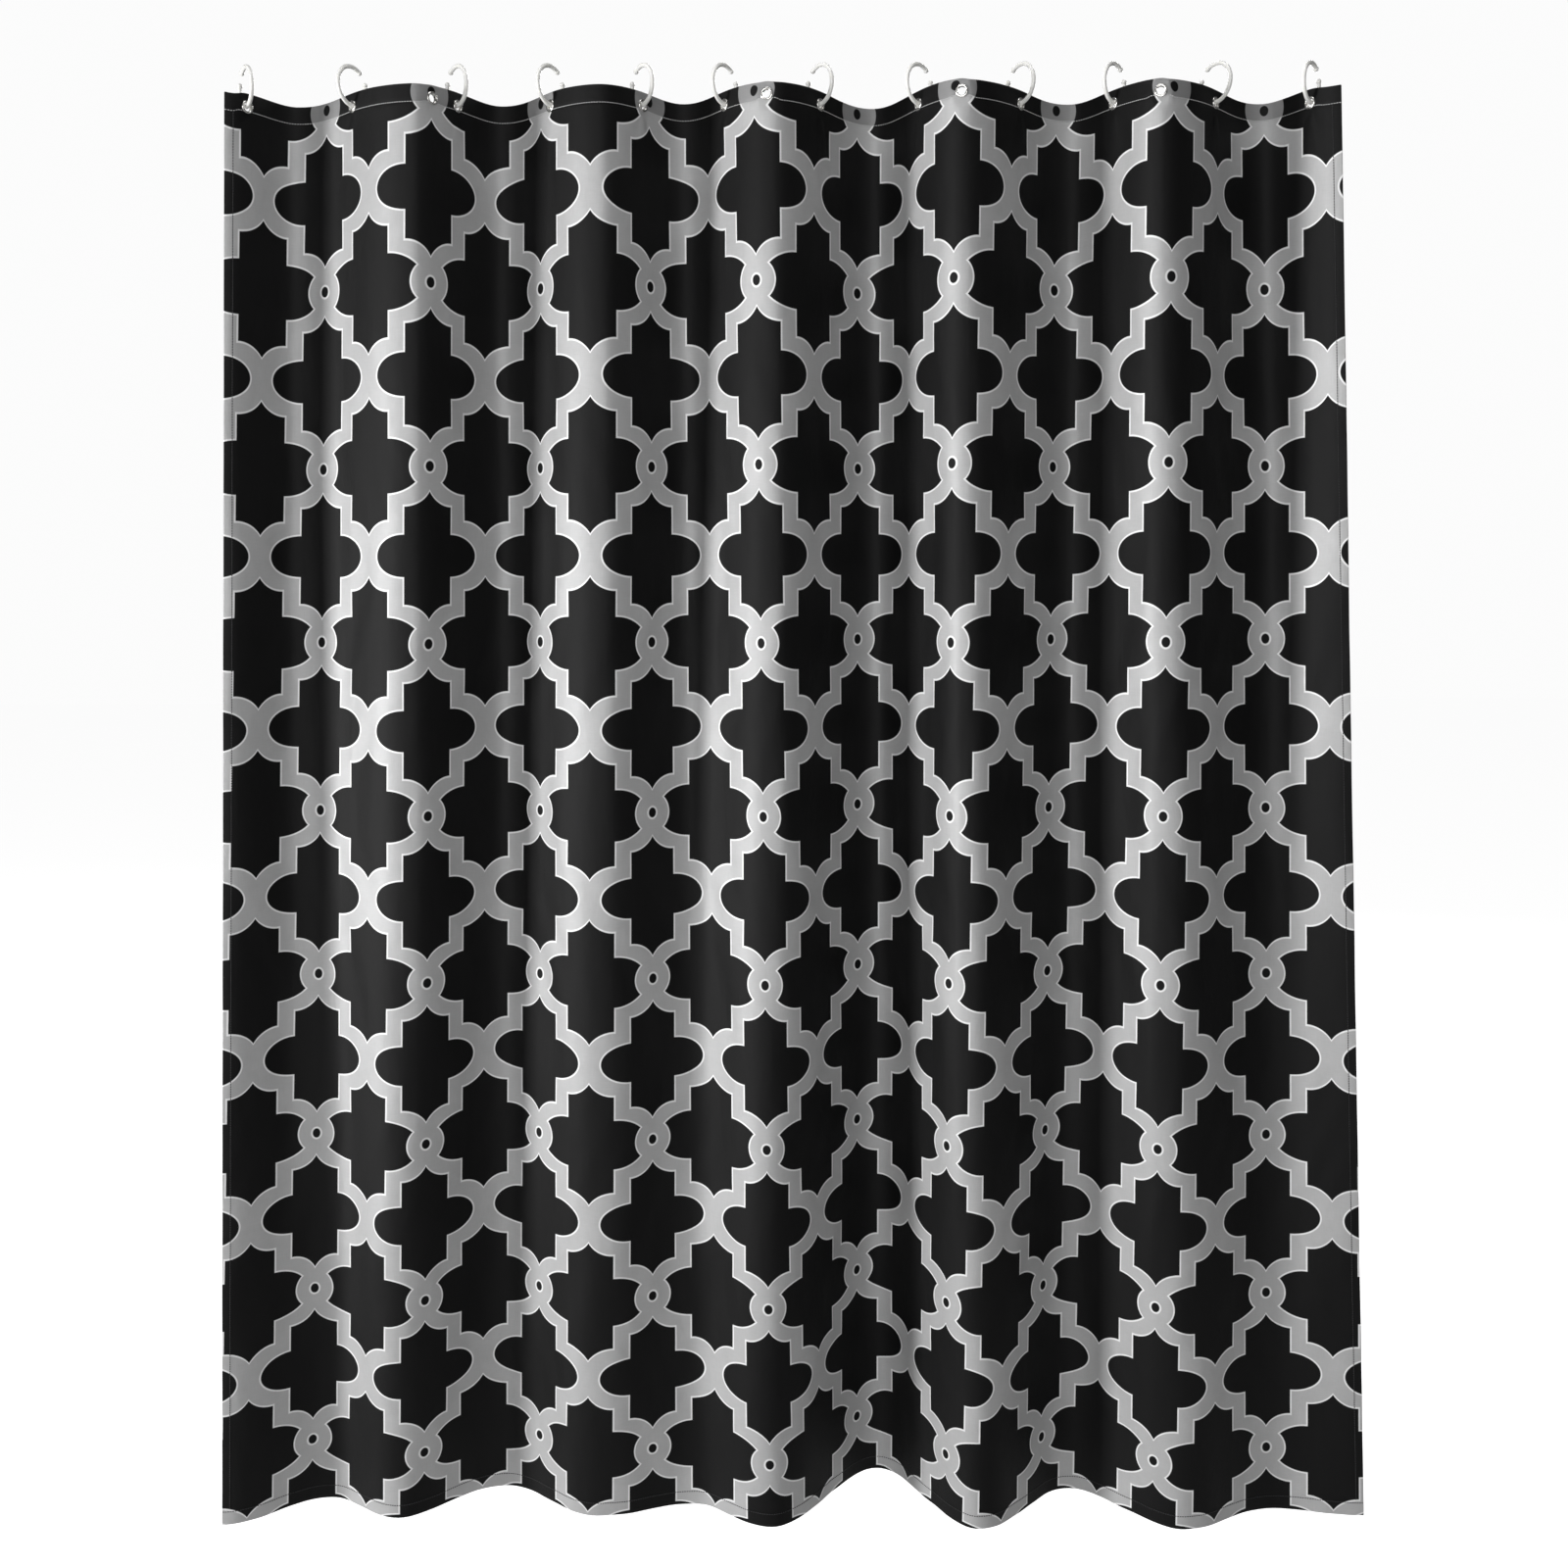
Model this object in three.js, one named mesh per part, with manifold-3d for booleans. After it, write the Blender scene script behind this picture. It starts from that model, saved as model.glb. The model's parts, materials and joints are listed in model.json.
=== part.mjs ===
// A shower curtain: one woven panel with a stitched top hem, metal eyelets and plastic C-ring hooks.
// Millimetres, +Z up. The origin is on the axis of the rod that the rings hang on, at mid-width.
// +X runs along the rod, -Y faces the room and +Y the bath.

import * as THREE from 'three';
import { mergeVertices } from 'three/addons/utils/BufferGeometryUtils.js';
import Module from 'manifold-3d';

const wasm = await Module();
wasm.setup();

// ---- The panel, laid flat ----
const clothWidth = 1829;
const clothDrop = 1829;
const clothThickness = 1.2; // a plain solid in place of a 0.3 mm weave
const hemThickness = 0.8;
const topHemHeight = 22;
const bottomHemHeight = 20;
const sideHemWidth = 12;
const layerGap = 0.3; // between pieces that touch on the real curtain

// ---- The panel, hung ----
const hungWidthTop = 1326;
const hungWidthBottom = 1528;
const bottomShift = 10; // the bottom edge hangs this far to the right of the top one
const columnsPerFlank = 6;

// The folds, from the left edge to the right one. top and bottom are shares of the hung width.
// The depths are how far a fold stands behind (+) or before (-) the rod's line. Both edges keep
// the flat width, so their depths are scaled together until they do.
const folds = [
  { top: 0.0, topDepth: -16, bottom: 0.0, bottomDepth: -39 },
  { top: 0.051, topDepth: 50, bottom: 0.084, bottomDepth: 25 },
  { top: 0.173, topDepth: -49, bottom: 0.15, bottomDepth: -22 },
  { top: 0.241, topDepth: 49, bottom: 0.238, bottomDepth: 52 },
  { top: 0.338, topDepth: -43, bottom: 0.327, bottomDepth: -20 },
  { top: 0.41, topDepth: 42, bottom: 0.412, bottomDepth: 5 },
  { top: 0.492, topDepth: -50, bottom: 0.479, bottomDepth: -47 },
  { top: 0.586, topDepth: 66, bottom: 0.578, bottomDepth: 89 },
  { top: 0.66, topDepth: -58, bottom: 0.66, bottomDepth: -54 },
  { top: 0.768, topDepth: 51, bottom: 0.749, bottomDepth: 39 },
  { top: 0.836, topDepth: -56, bottom: 0.838, bottomDepth: -57 },
  { top: 0.946, topDepth: 52, bottom: 0.919, bottomDepth: -10 },
  { top: 1.0, topDepth: -27, bottom: 1.0, bottomDepth: -25 },
];

// ---- The rings, and the rod that they fit ----
const rodDiameter = 16;
const ringInnerDiameter = 40;
const ringWire = 5;
const ringGap = 9.5; // the mouth that snaps over the rod, along the wire
const ringGapAngle = 125; // degrees round from the lowest point, towards the back
const ringYawShare = 0.7; // how far a ring turns towards the cloth's normal on its flank
const wireSides = 8;
const wireSteps = 16;

// ---- The eyelets ----
const eyeletHole = 9.4;
const wireClearance = 1.4; // left under the wire in the hole that hangs on it
const eyeletWall = 0.6;
const eyeletFlange = 15;
const eyeletRim = 1.4; // how far the rolled front rim stands out
const washerThickness = 0.8;
const eyeletInset = 16; // cloth's top edge to the eyelet's centre
const eyeletFlat = 19; // width of the strip that an eyelet holds flat
const roundSides = 12;

// Eyelets that carry no ring: the fold that each is nearest to, and its distance from that
// fold along the cloth (+ to the right).
const spareEyelets = [
  { fold: 2, along: 27 },
  { fold: 6, along: -7 },
  { fold: 8, along: -2 },
  { fold: 10, along: -3 },
];

// ---- Places that follow from those sizes ----
const wireRadius = ringWire / 2;
const ringRadius = ringInnerDiameter / 2 + wireRadius;
const ringCentreZ = rodDiameter / 2 - ringInnerDiameter / 2;
const eyeletHang = (eyeletHole - ringWire) / 2 - wireClearance; // its centre hangs this far below the wire's
const eyeletZ = ringCentreZ - ringRadius - eyeletHang;
const topEdgeZ = eyeletZ + eyeletInset;
const barrelRadius = eyeletHole / 2 + eyeletWall;
const cutRadius = barrelRadius + layerGap;
const clothBack = clothThickness / 2;
const hemFront = clothBack + layerGap;
const hemBack = hemFront + hemThickness;

// ---- Materials ----
const cloth = new THREE.MeshStandardMaterial({ color: 0x17171a, roughness: 0.62, metalness: 0 });
const hemCloth = new THREE.MeshStandardMaterial({ color: 0x111113, roughness: 0.7, metalness: 0 });
const nickel = new THREE.MeshStandardMaterial({ color: 0xc9c9c6, roughness: 0.28, metalness: 1 });
const plastic = new THREE.MeshStandardMaterial({ color: 0xf2f2ee, roughness: 0.35, metalness: 0 });

// The wavy line of a hung edge, seen from above, walked by distance along the cloth.
class HungEdge {
  constructor(hungWidth, middle, places, depths) {
    const x = (place) => middle + (place - 0.5) * hungWidth;
    this.turns = places.map((place, i) => new THREE.Vector2(x(place), depths[i]));
    this.points = [this.turns[0].clone()];
    this.lengths = [0];
    this.foldAt = [0];
    const steps = 40;
    for (let i = 1; i < this.turns.length; i++) {
      for (let k = 1; k <= steps; k++) {
        this.addPoint(this.onFlank(i, k / steps));
      }
      this.foldAt.push(this.length);
    }
  }

  get length() {
    return this.lengths[this.lengths.length - 1];
  }

  // A flank is half a wave between two turning points.
  onFlank(i, share) {
    const from = this.turns[i - 1];
    const to = this.turns[i];
    const rise = (1 - Math.cos(Math.PI * share)) / 2;
    return new THREE.Vector2(
      THREE.MathUtils.lerp(from.x, to.x, share),
      THREE.MathUtils.lerp(from.y, to.y, rise),
    );
  }

  addPoint(point) {
    const last = this.points[this.points.length - 1];
    this.lengths.push(this.length + last.distanceTo(point));
    this.points.push(point);
  }

  at(distance) {
    const wanted = THREE.MathUtils.clamp(distance, 0, this.length);
    let i = 1;
    while (i < this.lengths.length - 1 && this.lengths[i] < wanted) {
      i++;
    }
    const share = (wanted - this.lengths[i - 1]) / (this.lengths[i] - this.lengths[i - 1]);
    return this.points[i - 1].clone().lerp(this.points[i], share);
  }

  // Where the flank that ends at fold i passes under the rod, as a distance along the cloth.
  crossing(i) {
    let low = this.foldAt[i - 1];
    let high = this.foldAt[i];
    const startsBehind = this.at(low).y > 0;
    for (let k = 0; k < 40; k++) {
      const middle = (low + high) / 2;
      if (this.at(middle).y > 0 === startsBehind) {
        low = middle;
      } else {
        high = middle;
      }
    }
    return (low + high) / 2;
  }
}

// Deepens or flattens the folds until the edge holds the whole flat width.
function hangEdge(hungWidth, middle, places, depths) {
  const hung = (factor) => new HungEdge(hungWidth, middle, places, depths.map((d) => d * factor));
  let low = 0;
  let high = 10;
  for (let k = 0; k < 50; k++) {
    const factor = (low + high) / 2;
    if (hung(factor).length < clothWidth) {
      low = factor;
    } else {
      high = factor;
    }
  }
  return hung(high);
}

const topEdge = hangEdge(
  hungWidthTop,
  0,
  folds.map((fold) => fold.top),
  folds.map((fold) => fold.topDepth),
);
const bottomEdge = hangEdge(
  hungWidthBottom,
  bottomShift,
  folds.map((fold) => fold.bottom),
  folds.map((fold) => fold.bottomDepth),
);

// A point of the hung cloth: across and down are its place on the flat panel, and back is its
// distance behind the cloth's middle.
function onCloth(across, down, back) {
  const share = down / clothDrop;
  const place = (distance) => topEdge.at(distance).lerp(bottomEdge.at(distance), share);
  const reach = 2;
  const along = place(across + reach).sub(place(across - reach)).normalize();
  const here = place(across);
  return new THREE.Vector3(here.x - along.y * back, here.y + along.x * back, topEdgeZ - down);
}

// ---- Where the eyelets are ----
const ringedAt = folds.slice(1).map((fold, i) => topEdge.crossing(i + 1));
const spareAt = spareEyelets.map((spare) => topEdge.foldAt[spare.fold] + spare.along);
const eyeletsAt = [...ringedAt, ...spareAt];

// The middle of the flat strip round an eyelet, and the way that the strip faces at the back.
function seatOf(across) {
  const half = eyeletFlat / 2;
  const left = onCloth(across - half, eyeletInset, 0);
  const right = onCloth(across + half, eyeletInset, 0);
  const low = onCloth(across - half, eyeletInset + half, 0);
  const centre = left.clone().lerp(right, 0.5);
  const along = right.clone().sub(left);
  const down = low.clone().sub(left);
  return { centre, normal: along.cross(down).normalize() };
}

// The columns that all the layers share, so that they stay parallel: both edges of every flat
// strip, the inner edges of the side hems, and every flank in equal parts between those.
function sharedColumns() {
  const fixed = [0, sideHemWidth, clothWidth - sideHemWidth, clothWidth];
  for (const across of eyeletsAt) {
    fixed.push(across - eyeletFlat / 2, across + eyeletFlat / 2);
  }
  const free = [];
  for (let i = 1; i < folds.length; i++) {
    const from = topEdge.foldAt[i - 1];
    const to = topEdge.foldAt[i];
    for (let k = 0; k < columnsPerFlank; k++) {
      free.push(THREE.MathUtils.lerp(from, to, k / columnsPerFlank));
    }
  }
  const apart = 5;
  const clearOfEyelets = (value) =>
    eyeletsAt.every((across) => Math.abs(value - across) > eyeletFlat / 2 + apart);
  const clearOfFixed = (value) => fixed.every((other) => Math.abs(value - other) > apart);
  const kept = free.filter((value) => clearOfEyelets(value) && clearOfFixed(value));
  return [...fixed, ...kept].sort((a, b) => a - b);
}

const columns = sharedColumns();
const rows = [0, topHemHeight, clothDrop / 2, clothDrop - bottomHemHeight, clothDrop];

// A closed layer of cloth over some columns and rows, between two distances behind the middle.
function layer(acrossList, downList, front, back) {
  const positions = [];
  const index = [];
  const wide = acrossList.length;
  const tall = downList.length;
  for (const offset of [front, back]) {
    for (const down of downList) {
      for (const across of acrossList) {
        positions.push(...onCloth(across, down, offset).toArray());
      }
    }
  }
  const frontAt = (i, j) => j * wide + i;
  const backAt = (i, j) => wide * tall + j * wide + i;
  const quad = (a, b, c, d) => index.push(a, b, c, a, c, d);
  for (let j = 0; j < tall - 1; j++) {
    for (let i = 0; i < wide - 1; i++) {
      quad(frontAt(i, j), frontAt(i, j + 1), frontAt(i + 1, j + 1), frontAt(i + 1, j));
      quad(backAt(i, j), backAt(i + 1, j), backAt(i + 1, j + 1), backAt(i, j + 1));
    }
    quad(frontAt(0, j), backAt(0, j), backAt(0, j + 1), frontAt(0, j + 1));
    const last = wide - 1;
    quad(frontAt(last, j), frontAt(last, j + 1), backAt(last, j + 1), backAt(last, j));
  }
  for (let i = 0; i < wide - 1; i++) {
    const last = tall - 1;
    quad(frontAt(i, 0), frontAt(i + 1, 0), backAt(i + 1, 0), backAt(i, 0));
    quad(frontAt(i, last), backAt(i, last), backAt(i + 1, last), frontAt(i + 1, last));
  }
  const geometry = new THREE.BufferGeometry();
  geometry.setAttribute('position', new THREE.Float32BufferAttribute(positions, 3));
  geometry.setIndex(index);
  return geometry;
}

function toSolid(geometry) {
  const bare = geometry.clone();
  bare.deleteAttribute('normal');
  bare.deleteAttribute('uv');
  const merged = mergeVertices(bare, 1e-4);
  return new wasm.Manifold(
    new wasm.Mesh({
      numProp: 3,
      vertProperties: new Float32Array(merged.attributes.position.array),
      triVerts: new Uint32Array(merged.index.array),
    }),
  );
}

function toGeometry(solid) {
  const mesh = solid.getMesh();
  const geometry = new THREE.BufferGeometry();
  geometry.setAttribute('position', new THREE.BufferAttribute(mesh.vertProperties, 3));
  geometry.setIndex(new THREE.BufferAttribute(mesh.triVerts, 1));
  return geometry;
}

// Turns a shape made round its own Y axis to face along a direction.
function facing(direction) {
  return new THREE.Quaternion().setFromUnitVectors(new THREE.Vector3(0, 1, 0), direction);
}

function punched(geometry) {
  let solid = toSolid(geometry);
  const reach = 4 * (hemBack + clothThickness);
  for (const across of eyeletsAt) {
    const seat = seatOf(across);
    const punch = new THREE.CylinderGeometry(cutRadius, cutRadius, reach, roundSides);
    punch.applyQuaternion(facing(seat.normal));
    punch.translate(...seat.centre.toArray());
    solid = solid.subtract(toSolid(punch));
  }
  return toGeometry(solid);
}

// The front half of an eyelet: a rolled rim and a barrel through the layers.
function eyeletGeometry() {
  const rimBack = -clothBack - layerGap;
  const rimFront = rimBack - eyeletRim;
  const barrelEnd = hemBack + layerGap + washerThickness + eyeletWall;
  const hole = eyeletHole / 2;
  const outer = eyeletFlange / 2;
  const round = eyeletRim / 2;
  const profile = [
    [hole, rimFront + round],
    [hole + round, rimFront],
    [outer - round, rimFront],
    [outer, rimFront + round],
    [outer, rimBack],
    [barrelRadius, rimBack],
    [barrelRadius, barrelEnd],
    [hole, barrelEnd],
    [hole, rimFront + round],
  ];
  return new THREE.LatheGeometry(profile.map((p) => new THREE.Vector2(...p)), roundSides);
}

// The back half: a flat washer that the barrel is rolled over.
function washerGeometry() {
  const front = hemBack + layerGap;
  const back = front + washerThickness;
  const inner = cutRadius;
  const outer = eyeletFlange / 2;
  const profile = [[inner, front], [outer, front], [outer, back], [inner, back], [inner, front]];
  return new THREE.LatheGeometry(profile.map((p) => new THREE.Vector2(...p)), roundSides);
}

// The ring's centre line, in its own plane: X to the back, Z up, from one lip round to the other.
class RingLine extends THREE.Curve {
  getPoint(share, target = new THREE.Vector3()) {
    const half = THREE.MathUtils.radToDeg(ringGap / ringRadius / 2);
    const start = ringGapAngle + half;
    const angle = THREE.MathUtils.degToRad(start + share * (360 - 2 * half));
    return target.set(ringRadius * Math.sin(angle), 0, -ringRadius * Math.cos(angle));
  }
}

function ringGeometry() {
  const section = new THREE.Shape();
  for (let i = 0; i < wireSides; i++) {
    const angle = ((i + 0.5) / wireSides) * 2 * Math.PI;
    const step = i === 0 ? 'moveTo' : 'lineTo';
    section[step](wireRadius * Math.cos(angle), wireRadius * Math.sin(angle));
  }
  section.closePath();
  return new THREE.ExtrudeGeometry(section, {
    steps: wireSteps,
    extrudePath: new RingLine(),
    bevelEnabled: false,
  });
}

// ---- The object ----
const curtain = new THREE.Group();

function add(name, geometry, material, parent = curtain) {
  const mesh = new THREE.Mesh(geometry, material);
  mesh.name = name;
  parent.add(mesh);
  return mesh;
}

const twoDigits = (number) => String(number).padStart(2, '0');
const [top, underTop, halfWay, aboveBottom, bottom] = rows;
const hemColumns = columns.filter((value) => value <= sideHemWidth);
const farHemColumns = columns.filter((value) => value >= clothWidth - sideHemWidth);
const sideRows = [underTop + layerGap, halfWay, aboveBottom - layerGap];

add('curtain_cloth', punched(layer(columns, rows, -clothBack, clothBack)), cloth);
add('top_hem', punched(layer(columns, [top, underTop], hemFront, hemBack)), hemCloth);
add('bottom_hem', layer(columns, [aboveBottom, bottom], hemFront, hemBack), hemCloth);
add('left_side_hem', layer(hemColumns, sideRows, hemFront, hemBack), hemCloth);
add('right_side_hem', layer(farHemColumns, sideRows, hemFront, hemBack), hemCloth);

function addEyelet(across, eyeletName, washerName) {
  const seat = seatOf(across);
  const place = new THREE.Group();
  place.position.copy(seat.centre);
  place.quaternion.copy(facing(seat.normal));
  curtain.add(place);
  add(eyeletName, eyeletGeometry(), nickel, place);
  add(washerName, washerGeometry(), nickel, place);
}

ringedAt.forEach((across, i) => {
  const number = twoDigits(i + 1);
  addEyelet(across, `eyelet_${number}`, `washer_${number}`);
  const seat = seatOf(across);
  const flankAngle = Math.atan2(seat.normal.x, seat.normal.y);
  const hook = add(`hook_${number}`, ringGeometry(), plastic);
  hook.position.set(seat.centre.x, seat.centre.y, ringCentreZ);
  hook.rotation.z = Math.PI / 2 - ringYawShare * flankAngle;
});

spareAt.forEach((across, i) => {
  addEyelet(across, `spare_eyelet_${i + 1}`, `spare_washer_${i + 1}`);
});

export default curtain;
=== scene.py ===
"""Makes the finished look of a hung shower curtain round its CAD frame.

The file is laid out as an add-on, with one operator for each group of pieces, and is run as a script.
Lengths in the code are metres. "across" and "down" are places on the curtain laid flat, measured from
its top left corner as seen from the room. "back" is a distance behind the middle of the cloth.
"""

import json
import math

import bpy
import numpy as np
from mathutils import Matrix, Vector


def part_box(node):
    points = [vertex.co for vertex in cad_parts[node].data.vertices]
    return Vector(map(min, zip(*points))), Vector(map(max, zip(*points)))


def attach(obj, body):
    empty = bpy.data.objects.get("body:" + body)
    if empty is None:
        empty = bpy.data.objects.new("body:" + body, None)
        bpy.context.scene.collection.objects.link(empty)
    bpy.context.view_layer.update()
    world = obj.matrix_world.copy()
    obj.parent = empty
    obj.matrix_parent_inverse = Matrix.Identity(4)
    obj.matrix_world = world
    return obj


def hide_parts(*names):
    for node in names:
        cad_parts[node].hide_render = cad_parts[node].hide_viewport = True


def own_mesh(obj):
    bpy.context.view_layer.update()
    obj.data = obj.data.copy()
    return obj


bl_info = {
    "name": "Shower curtain",
    "version": (1, 0, 0),
    "blender": (4, 5, 0),
    "location": "3D View > Sidebar > Curtain",
    "description": "Makes a printed shower curtain with eyelets and plastic rings",
    "category": "Add Mesh",
}

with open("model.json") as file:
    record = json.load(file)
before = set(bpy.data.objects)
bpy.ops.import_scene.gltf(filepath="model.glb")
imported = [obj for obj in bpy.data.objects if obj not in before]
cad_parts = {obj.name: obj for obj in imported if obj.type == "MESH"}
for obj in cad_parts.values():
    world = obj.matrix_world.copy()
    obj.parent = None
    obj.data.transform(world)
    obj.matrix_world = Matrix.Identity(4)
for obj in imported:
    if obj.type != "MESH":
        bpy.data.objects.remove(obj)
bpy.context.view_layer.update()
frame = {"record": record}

MM = 0.001
RING_COUNT = 12

# The folds from the left edge to the right one: share of the hung width and depth behind the rod's
# line in mm, at the top and then at the bottom.
FOLDS = (
    (0.000, -16, 0.000, -39),
    (0.051, 50, 0.084, 25),
    (0.173, -49, 0.150, -22),
    (0.241, 49, 0.238, 52),
    (0.338, -43, 0.327, -20),
    (0.410, 42, 0.412, 5),
    (0.492, -50, 0.479, -47),
    (0.586, 66, 0.578, 89),
    (0.660, -58, 0.660, -54),
    (0.768, 51, 0.749, 39),
    (0.836, -56, 0.838, -57),
    (0.946, 52, 0.919, -10),
    (1.000, -27, 1.000, -25),
)

# Eyelets that carry no ring: the fold that each is nearest to, and its distance from it in mm.
SPARE_PLACES = ((2, 27), (6, -7), (8, -2), (10, -3))

HOLE_EDGE = 0.0062  # radius of the cloth's hole round an eyelet's barrel
HOLE_REACH = 0.0071  # a face with all its corners nearer than this is cut out
TOP_SEAM_INSET = 0.0012  # a hem's free edge to its stitches
HEM_SEAM_INSET = 0.0016
SEAM_GROOVE = 0.0003  # how far the top stitches pull the cloth's face in
HEM_TUCK = 0.0005  # radius of the turned-in end of a hem
SIDE_HEM_TUCK = 0.0003
RIM_LIFT = 0.00014  # an eyelet's rim stands this far off the cloth
BARREL_WALL = 0.0005
BARREL_PAST_HEM = 0.0014  # how far the barrel's rolled end stands behind the hem
LATHE_SIDES = 44
SEAT_TOLERANCE = 0.002  # an eyelet may be this far from its place in the frame

CLOSE_STEP = 0.0019  # between the cloth's points round the eyelets and in the top hem
CLOSE_REACH = 0.0105  # on each side of an eyelet
CLOSE_END = 0.033  # down from the top edge
WIDE_STEP = 0.0062  # between the points elsewhere, across
TALL_STEP = 0.0092  # and down
GROOVE_HALF = 0.0011
HEM_END = 0.0006  # a hem's two ends stop this short of the panel's edge
SIDE_HEM_END = 0.001
SIDE_HEM_STEP = 0.009
BEHIND_FRONT = 0.0005  # from here back, a top hem's points are on its back sheet
THREAD_STAND = 0.18  # share of its width that a stitch's middle stands off the cloth
SEAM_END = 0.002  # a row of stitches stops this short of the panel's edge
SIDE_SEAM_END = 0.024
LIP_SHARE = 0.055  # share of a ring's length at each end where its points are close together


# ---------------------------------------------------------------- settings


def measure(name, about, default, **kind):
    return bpy.props.FloatProperty(name=name, description=about, default=default, **kind)


def length(name, about, default):
    return measure(name, about, default, unit="LENGTH", precision=4)


def share(name, about, default):
    return measure(name, about, default, min=0, max=1, subtype="FACTOR")


def degrees(name, about, default):
    return measure(name, about, math.radians(default), subtype="ANGLE")


def watts(name, default):
    return measure(name, "Power in watts", default, subtype="POWER")


def colour(name, about, default):
    return bpy.props.FloatVectorProperty(
        name=name, description=about, default=default, size=3, min=0, max=1, subtype="COLOR"
    )


class ClothSettings(bpy.types.PropertyGroup):
    """The panel's size, flat and hung."""

    width: length("Flat width", "Width of the panel laid flat", 1.829)
    drop: length("Drop", "Top edge to bottom edge", 1.829)
    hung_top: length("Hung width, top", "Width of the hung top edge", 1.326)
    hung_bottom: length("Hung width, bottom", "Width of the hung bottom edge", 1.528)
    bottom_shift: length("Bottom shift", "How far right the bottom edge hangs", 0.010)
    top_hem: length("Top hem", "Height of the top hem", 0.022)
    bottom_hem: length("Bottom hem", "Height of the bottom hem", 0.020)
    side_hem: length("Side hem", "Width of each side hem", 0.012)
    thickness: length("Solid thickness", "Thickness of the cloth's solid in the frame", 0.0012)
    hem_back: length("Hem depth", "Cloth's middle to the back of the top and bottom hems", 0.0017)
    side_back: length("Side hem depth", "Cloth's middle to the back of a side hem", 0.0012)
    sag: length("Sag", "How far the top edge sags between two eyelets", 0.003)
    wrinkle: length("Wrinkles", "Depth of the soft waves over the panel", 0.0022)


class PrintSettings(bpy.types.PropertyGroup):
    """The trellis print."""

    across: length("Repeat across", "Width of one repeat", 0.1757)
    down: length("Repeat down", "Height of one repeat", 0.2165)
    start_across: length("Start across", "First column of rings from the left edge", -0.0345)
    start_down: length("Start down", "First row of rings from the top edge", 0.009)
    lean: measure("Lean", "Slip of the columns to the left for each length down", 0.0115)
    outline: length("Outline", "Width of the light line along each band", 0.0021)
    black: colour("Black", "The ground colour", (0.0016, 0.0016, 0.0017))
    grey: colour("Grey", "The band's colour", (0.445, 0.445, 0.447))
    light: colour("Outline colour", "The light line's colour", (0.82, 0.82, 0.822))
    # painted shade: the print above the top hem's stitches is darkened to this share of its brightness
    header: share("Header shade", "How bright the print is above the hem's stitches", 0.6)


class RingSettings(bpy.types.PropertyGroup):
    """The open plastic rings that ride on the rod."""

    wire: length("Wire", "Thickness of the ring's wire", 0.005)
    inside: length("Inside", "Inner diameter of the ring", 0.040)
    gap: length("Gap", "The mouth, along the wire", 0.0095)
    gap_angle: degrees("Gap angle", "Round from the lowest point to the mouth, towards the back", 125)
    lip: length("Lip", "Diameter of the rounded lip at each end", 0.0062)
    plastic: colour("Plastic", "Colour of the plastic", (0.91, 0.91, 0.9))


class EyeletSettings(bpy.types.PropertyGroup):
    """The metal eyelets and their washers."""

    hole: length("Hole", "Clear diameter of the hole", 0.0094)
    flange: length("Flange", "Outer diameter", 0.015)
    rim: length("Rim", "How far the rolled rim stands out", 0.0014)
    inset: length("Inset", "Top edge to the eyelet's centre", 0.016)
    flat: length("Flat", "Width of the strip that the eyelet holds flat", 0.019)
    metal: colour("Metal", "Colour of the plating", (0.80, 0.79, 0.765))


class StitchSettings(bpy.types.PropertyGroup):
    """The sewing thread."""

    pitch: length("Pitch", "One stitch to the next", 0.0032)
    gap: length("Gap", "Between two stitches", 0.0005)
    thread: length("Thread", "Width of a stitch", 0.0011)
    pale: colour("Top thread", "Thread of the top hem", (0.52, 0.52, 0.52))
    dark: colour("Other thread", "Thread of the other hems", (0.012, 0.012, 0.013))


class StageSettings(bpy.types.PropertyGroup):
    """The floor, lights and camera."""

    floor: length("Floor", "Height of the floor", -1.95)
    lens: measure("Lens", "Focal length in mm", 36.38)
    distance: length("Distance", "Camera to the rod's line", 1.997)
    height: length("Height", "Camera's height against the rod", -0.582)
    pitch: degrees("Tilt", "Camera's downward tilt", 7.88)
    roll: degrees("Roll", "Camera's roll", -0.23)
    key: watts("Key light", 215.0)
    fill: watts("Fill light", 76.0)
    top: watts("Top light", 15.0)


SETTINGS = {
    "curtain_cloth_sizes": ClothSettings,
    "curtain_print": PrintSettings,
    "curtain_rings": RingSettings,
    "curtain_eyelets": EyeletSettings,
    "curtain_stitches": StitchSettings,
    "curtain_stage": StageSettings,
}


def settings(name):
    return getattr(bpy.context.scene, name)


# ---------------------------------------------------------------- the hung shape


class HungEdge:
    """The wavy line of a hung edge, seen from above, walked by distance along the cloth."""

    def __init__(self, width, middle, shares, depths):
        turns = middle + (np.array(shares) - 0.5) * width
        steps = np.linspace(0, 1, 41)[1:]
        rise = (1 - np.cos(np.pi * steps)) / 2
        xs, ys = [turns[:1]], [depths[:1]]
        for i in range(1, len(turns)):
            xs.append(turns[i - 1] + (turns[i] - turns[i - 1]) * steps)
            ys.append(depths[i - 1] + (depths[i] - depths[i - 1]) * rise)
        self.x = np.concatenate(xs)
        self.y = np.concatenate(ys)
        pieces = np.hypot(np.diff(self.x), np.diff(self.y))
        self.along = np.concatenate(([0.0], np.cumsum(pieces)))
        self.fold_at = self.along[:: len(steps)]
        self.length = self.along[-1]

    def at(self, distance):
        return np.interp(distance, self.along, self.x), np.interp(distance, self.along, self.y)

    def crossing(self, i):
        """Where the flank that ends at fold i passes under the rod."""
        part = slice(*np.searchsorted(self.along, (self.fold_at[i - 1], self.fold_at[i] + 1e-12)))
        y, along = self.y[part], self.along[part]
        if y[0] > y[-1]:
            y, along = y[::-1], along[::-1]
        return float(np.interp(0.0, y, along))


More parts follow.
